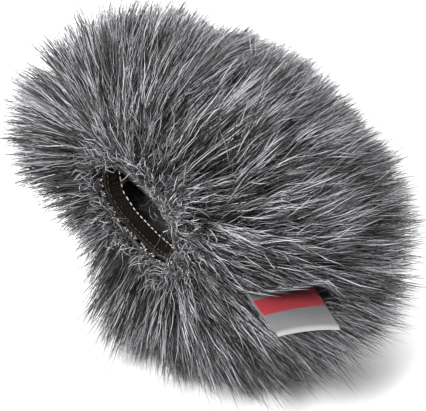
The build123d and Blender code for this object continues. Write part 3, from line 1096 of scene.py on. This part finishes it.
@dataclass
class MouthTrim:
    """Hem tape with its elastic, two rows of stitches and the ragged cut edge of the knit at the mouth."""

    shape: BagShape
    inset: float = 1.2 * MM
    depth: float = 5.9 * MM
    thickness: float = 1.8 * MM
    elastic_depth: float = 4.6 * MM
    elastic_thickness: float = 0.9 * MM
    ribs: int = 7
    rib_height: float = 0.20 * MM
    gathers: int = 58
    gather_height: float = 0.22 * MM
    lip_gap: float = 0.2 * MM
    stitch_radius: float = 0.2 * MM
    stitches: int = 44
    loops: int = 260

    def lip(self, turn: np.ndarray, inset: float, y: np.ndarray) -> np.ndarray:
        """Points round the mouth.

        Args:
            turn: their angles round the axis.
            inset: how far inside the skin they lie.
            y: how deep in the bag they lie.

        Returns:
            The points.
        """
        points = self.shape.point(np.zeros_like(turn), turn, inset)
        points[:, 1] = self.shape.front + y
        return points

    def inward(self, turn: np.ndarray) -> np.ndarray:
        """Directions across the lip.

        Args:
            turn: angles round the axis.

        Returns:
            Unit vectors towards the middle of the mouth.
        """
        step = 1e-3
        ahead = self.lip(turn + step, 0.0, 0 * turn)
        behind = self.lip(turn - step, 0.0, 0 * turn)
        run = unit(ahead - behind)
        return np.stack([-run[:, 2], 0 * turn, run[:, 0]], -1)

    def hem(self) -> bpy.types.Mesh:
        """Flattened tube of tape round the mouth, ribbed along its length and gathered by its elastic."""
        return self.ring("mouth_hem_tape", (420, 48), self.depth, self.thickness, 1.0)

    def elastic(self) -> bpy.types.Mesh:
        """Flat elastic band inside the tape."""
        return self.ring("mouth_elastic_band", (240, 16), self.elastic_depth, self.elastic_thickness, 0.0)

    def ring(
        self, name: str, counts: tuple[int, int], depth: float, thickness: float, relief: float
    ) -> bpy.types.Mesh:
        """Closed flat ring that follows the lip.

        Args:
            name: the mesh's name.
            counts: cells round the mouth and round the section.
            depth: the section's width along the axis.
            thickness: the section's thickness.
            relief: how strongly it is ribbed and gathered, from 0 to 1.

        Returns:
            The ring's mesh.
        """

        def place(u: np.ndarray, v: np.ndarray) -> np.ndarray:
            """Points of the ring: u runs round the mouth and v round the section."""
            turn = ROUND * u
            section = ROUND * v
            across = signed_power(np.cos(section), 0.35) * depth / 2
            out = signed_power(np.sin(section), 0.6) * thickness / 2
            rib = np.cos(across / depth * ROUND * self.ribs) * self.rib_height
            swell = np.cos(across / depth * math.pi) * self.gather_height
            gather = np.sin(turn * self.gathers + 2 * np.sin(5 * turn)) * swell
            inner = np.clip(np.sin(section), 0, 1) * relief
            rise = out + inner * (rib + gather)
            base = self.lip(turn, self.inset + self.thickness / 2, self.depth / 2 + self.lip_gap + across)
            return base + self.inward(turn) * rise[:, None]

        return outward(mapped_grid(name, counts, place))

    def stitch_row(self, name: str, y: float, wobble: float, seed: int) -> bpy.types.Mesh:
        """A row of separate stitches round the mouth.

        Args:
            name: the mesh's name.
            y: depth of the row behind the mouth's plane.
            wobble: unevenness of the row.
            seed: seed of the unevenness.

        Returns:
            The row's mesh.
        """
        rng = np.random.default_rng(seed)
        bm = bmesh.new()
        centre = (np.arange(self.stitches) + 0.5) / self.stitches
        turn = self.even_turn(centre)
        half = self.even_turn(centre + rng.uniform(0.32, 0.47, self.stitches) / self.stitches)
        y_all = y + rng.normal(size=self.stitches) * wobble
        above = self.inset + self.thickness + self.rib_height + self.stitch_radius
        middle = self.lip(turn, above, y_all)
        end = self.lip(half, above, y_all)
        for point, tip in zip(middle, end):
            add_capsule(bm, Vector(point), Vector(tip - point), self.stitch_radius)
        return bm_mesh(name, bm)

    def even_turn(self, share: np.ndarray) -> np.ndarray:
        """Turn angles at given distances round the lip.

        Args:
            share: the distances, as shares of the whole way round.

        Returns:
            The angles.
        """
        fine = np.linspace(0, ROUND, 721)
        points = self.lip(fine, self.inset, 0 * fine)
        run = np.r_[0, np.cumsum(np.linalg.norm(np.diff(points, axis=0), axis=1))]
        return np.interp(share % 1.0, run / run[-1], fine)

    def ragged_edge(self) -> bpy.types.Mesh:
        """Cut loops of the pale knit that stand along the lip."""
        rng = np.random.default_rng(71)
        bm = bmesh.new()
        turn = self.even_turn(rng.random(self.loops))
        dense = 0.35 + 0.65 * (np.sin(turn) < 0.25)
        kept = rng.random(self.loops) < dense
        base = self.lip(turn, 0.0, rng.uniform(-0.5, 0.9, self.loops) * MM)
        lean = self.inward(turn) * rng.uniform(-1.0, 1.3, self.loops)[:, None]
        lean = lean + rng.normal(size=(self.loops, 3)) * 0.5
        lean[:, 1] -= 0.4
        for point, way, keep in zip(base + lean * 0.5 * MM, unit(lean), kept):
            if keep:
                length = rng.uniform(0.2, 0.75) * MM
                add_capsule(bm, Vector(point), Vector(way) * length, rng.uniform(0.10, 0.22) * MM)
        return bm_mesh("mouth_knit_edge", bm)

    def build(self) -> None:
        """Make the trim."""
        front_row = self.stitch_row("front_hem_stitch_row", 1.1 * MM, 0.08 * MM, 61)
        rear_row = self.stitch_row("rear_hem_stitch_row", 5.6 * MM, 0.06 * MM, 62)
        made = (
            (self.elastic(), "mouth_elastic", "elastic", Finish.ELASTIC),
            (self.hem(), "mouth_hem", "binding_tape", Finish.ELASTIC),
            (front_row, "front_hem_stitches", "dark_thread", Finish.DARK_THREAD),
            (rear_row, "rear_hem_stitches", "pale_thread", Finish.PALE_THREAD),
            (self.ragged_edge(), "mouth_overlock_stitches", "pale_thread", Finish.PALE_THREAD),
        )
        for mesh, node, slot, finish in made:
            mesh.materials.append(finish.material())
            piece = finished(mesh.name, mesh, COVER_BODY)
            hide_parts(node)
            report(piece)


def add_capsule(bm: bmesh.types.BMesh, centre: Vector, half: Vector, radius: float) -> None:
    """Add a small rounded length of thread.

    Args:
        bm: the mesh to add to.
        centre: its middle.
        half: from its middle to one end.
        radius: its radius.
    """
    made = bmesh.ops.create_icosphere(bm, subdivisions=1, radius=1.0)["verts"]
    turn = half.to_track_quat("Z", "Y").to_matrix().to_4x4()
    scale = Matrix.Diagonal((radius, radius, half.length, 1.0))
    bmesh.ops.transform(bm, matrix=Matrix.Translation(centre) @ turn @ scale, verts=made)


def bm_mesh(name: str, bm: bmesh.types.BMesh) -> bpy.types.Mesh:
    """Make a smooth-shaded mesh from a bmesh.

    Args:
        name: the mesh's name.
        bm: the bmesh, which is freed.

    Returns:
        The mesh.
    """
    mesh = bpy.data.meshes.new(name)
    bm.to_mesh(mesh)
    bm.free()
    mesh.polygons.foreach_set("use_smooth", np.ones(len(mesh.polygons), bool))
    return mesh


@dataclass
class Label:
    """Loop of satin ribbon, folded at its free end, that hangs from the side seam."""

    width: float = 18.5 * MM
    length: float = 28 * MM
    start: float = 0.5 * MM
    ply: float = 0.32 * MM
    opening: float = 0.75 * MM
    twist: float = 9.0
    drift: float = 0.3 * MM
    droop: float = 4.0
    bow: float = 0.9 * MM
    curl: float = 0.5 * MM
    sag: float = 0.3 * MM
    part: float = 0.35 * MM

    def __post_init__(self) -> None:
        """Read the label's place from its joint."""
        joint = frame["joints"][0]
        self.origin = Vector(joint["pos_m"])
        hinge = Vector(joint["axis"]).normalized()
        outward = hinge.cross(Vector((0, 0, 1))).normalized()
        if outward.x < 0:
            outward = -outward
        down = math.radians(self.droop)
        self.out = (outward * math.cos(down) - Vector((0, 0, 1)) * math.sin(down)).normalized()
        self.side = Vector((0, 0, 1)).cross(outward).normalized()
        self.up = self.out.cross(self.side).normalized()

    def local(self, points: np.ndarray) -> np.ndarray:
        """Points in the label's own directions: out from the seam, along the seam, and up."""
        axes = np.array([self.out, self.side, self.up])
        return (points - np.array(self.origin)) @ axes.T

    def world(self, local: np.ndarray) -> np.ndarray:
        """Points in the frame from the label's own directions."""
        axes = np.array([self.out, self.side, self.up])
        return local @ axes + np.array(self.origin)

    def ribbon(self) -> bpy.types.Mesh:
        """The ribbon's sheet: out along the top ply, round the fold and back underneath."""
        straight = self.length - self.start - self.opening / 2
        bend = math.pi * self.opening / 2
        total = 2 * straight + bend

        def place(u: np.ndarray, v: np.ndarray) -> np.ndarray:
            """Points of the ribbon: u runs along it and v across it."""
            run = u * total
            top = run < straight
            under = run > straight + bend
            angle = np.clip((run - straight) / bend, 0, 1) * math.pi
            fold = straight + np.sin(angle) * self.opening / 2
            x = np.where(top, run, np.where(under, total - run, fold))
            z = np.cos(angle) * self.opening / 2
            across = (v - 0.5) * self.width
            share = x / straight
            crown = self.bow * (1 - (2 * v - 1) ** 2) * share
            curl = self.curl * np.sin(share * 3.0 + v * 1.3) * share
            part = np.where(z < 0, -self.part * np.sin(share * math.pi) * (1 + v), 0)
            roll = math.radians(self.twist) * share**1.5
            lift = crown + curl + part - self.sag * share - across * np.sin(roll)
            sideways = across * np.cos(roll) + self.drift * share**2
            return self.world(np.stack([self.start + x, sideways, z + lift], -1))

        return mapped_grid("label_ribbon_loop", (150, 40), place)

    def build(self) -> None:
        """Make the ribbon."""
        mesh = self.ribbon()
        mesh.materials.append(RibbonFinish().material())
        piece = finished("label_ribbon_loop", mesh, LABEL_BODY)
        thicken(piece, self.ply, 0.0)
        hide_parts("label_ribbon")
        report(piece)


# ---- shared helpers -------------------------------------------------------------------------
def finish_for(slot: str) -> bpy.types.Material | None:
    """Material of a cloth or thread slot, or nothing for another slot."""
    found = [finish for finish in Finish if finish.value.name == slot]
    return found[0].material() if found else None


def finished(name: str, mesh: bpy.types.Mesh, body: str) -> bpy.types.Object:
    """Put a mesh into the scene as a piece.

    Args:
        name: the piece's name.
        mesh: its mesh, already in place.
        body: the body that it moves with.

    Returns:
        The object.
    """
    piece = bpy.data.objects.new(name, mesh)
    bpy.context.scene.collection.objects.link(piece)
    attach(piece, body)
    return piece


def report(piece: bpy.types.Object) -> None:
    """Log a piece's name and size."""
    LOG.info("%s: %d faces", piece.name, len(piece.data.polygons))


# ---- studio ---------------------------------------------------------------------------------
@dataclass
class Studio:
    """Floor, lights and camera; each light has a place, a size and a power in watts."""

    look_at: Vector = field(default_factory=lambda: Vector((0.0, -0.003, 0.044)))
    azimuth: float = 63.5
    elevation: float = 30.0
    distance: float = 0.45
    roll: float = -4.0
    lens: float = 117.9
    floor_half: float = 9.0
    surroundings: float = 0.7
    key: tuple[Point, float, float] = ((0.35, -0.8, 0.85), 0.45, 21.0)
    top: tuple[Point, float, float] = ((-0.3, 0.3, 1.1), 0.6, 10.0)
    rear: tuple[Point, float, float] = ((-0.7, 0.8, 0.5), 0.7, 9.0)

    def back(self) -> Vector:
        """Direction from the subject to the camera."""
        a = math.radians(self.azimuth)
        e = math.radians(self.elevation)
        return Vector((math.sin(a) * math.cos(e), -math.cos(a) * math.cos(e), math.sin(e)))

    def place_camera(self) -> None:
        """Make the camera."""
        data = bpy.data.cameras.new("camera")
        data.lens = self.lens
        data.sensor_width = 36.0
        data.clip_start = 0.01
        camera = bpy.data.objects.new("camera", data)
        turn = self.back().to_track_quat("Z", "Y").to_matrix().to_4x4()
        roll = Matrix.Rotation(math.radians(self.roll), 4, "Z")
        camera.matrix_world = Matrix.Translation(self.look_at + self.back() * self.distance) @ turn @ roll
        bpy.context.scene.collection.objects.link(camera)
        bpy.context.scene.camera = camera

    def place_floor(self) -> None:
        """Make the pale floor."""
        bm = bmesh.new()
        bmesh.ops.create_grid(bm, x_segments=2, y_segments=2, size=self.floor_half)
        mesh = bpy.data.meshes.new("floor")
        bm.to_mesh(mesh)
        bm.free()
        floor = bpy.data.objects.new("floor", mesh)
        bpy.context.scene.collection.objects.link(floor)
        tree = NodeTree("floor_paint")
        tree.fixed(Base_Color=(0.86, 0.86, 0.86, 1.0), Roughness=0.9)
        mesh.materials.append(tree.material)

    def place_light(self, name: str, place: Point, size: float, watts: float) -> None:
        """Make one soft square light that faces the subject.

        Args:
            name: the light's name.
            place: where it stands.
            size: its side.
            watts: its power.
        """
        data = bpy.data.lights.new(name, "AREA")
        data.size = size
        data.energy = watts
        lamp = bpy.data.objects.new(name, data)
        spot = Vector(place)
        facing = (spot - self.look_at).to_track_quat("Z", "Y").to_matrix().to_4x4()
        lamp.matrix_world = Matrix.Translation(spot) @ facing
        bpy.context.scene.collection.objects.link(lamp)

    def light(self) -> None:
        """Make the lights and the even surroundings."""
        world = bpy.data.worlds.new("surroundings")
        world.use_nodes = True
        background = world.node_tree.nodes["Background"]
        background.inputs["Color"].default_value = (1.0, 1.0, 1.0, 1.0)
        background.inputs["Strength"].default_value = self.surroundings
        bpy.context.scene.world = world
        bpy.context.scene.view_settings.view_transform = "Standard"
        self.place_light("key_light", *self.key)
        self.place_light("top_light", *self.top)
        self.place_light("rear_light", *self.rear)

    def build(self) -> None:
        """Make everything that isn't the windscreen."""
        self.place_camera()
        self.place_floor()
        self.light()


def dress_carried_nodes() -> None:
    """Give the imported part's own shapes their woven and thread finishes."""
    slots = {part["node"]: part["material_slot"] for part in frame["record"]["subparts"]}
    for node, piece in frame["nodes"].items():
        material = finish_for(slots[node])
        if material:
            piece.data.materials.clear()
            piece.data.materials.append(material)


def main() -> None:
    """Build the windscreen and its studio."""
    logging.basicConfig(level=logging.INFO, format="%(message)s")
    Studio().build()
    shape = BagShape.from_frame()
    label = Label()
    Pile(shape, label).build(PileFinish().material())
    BagLayers(shape).build()
    MouthTrim(shape).build()
    label.build()
    dress_carried_nodes()


if __name__ == "__main__":
    main()
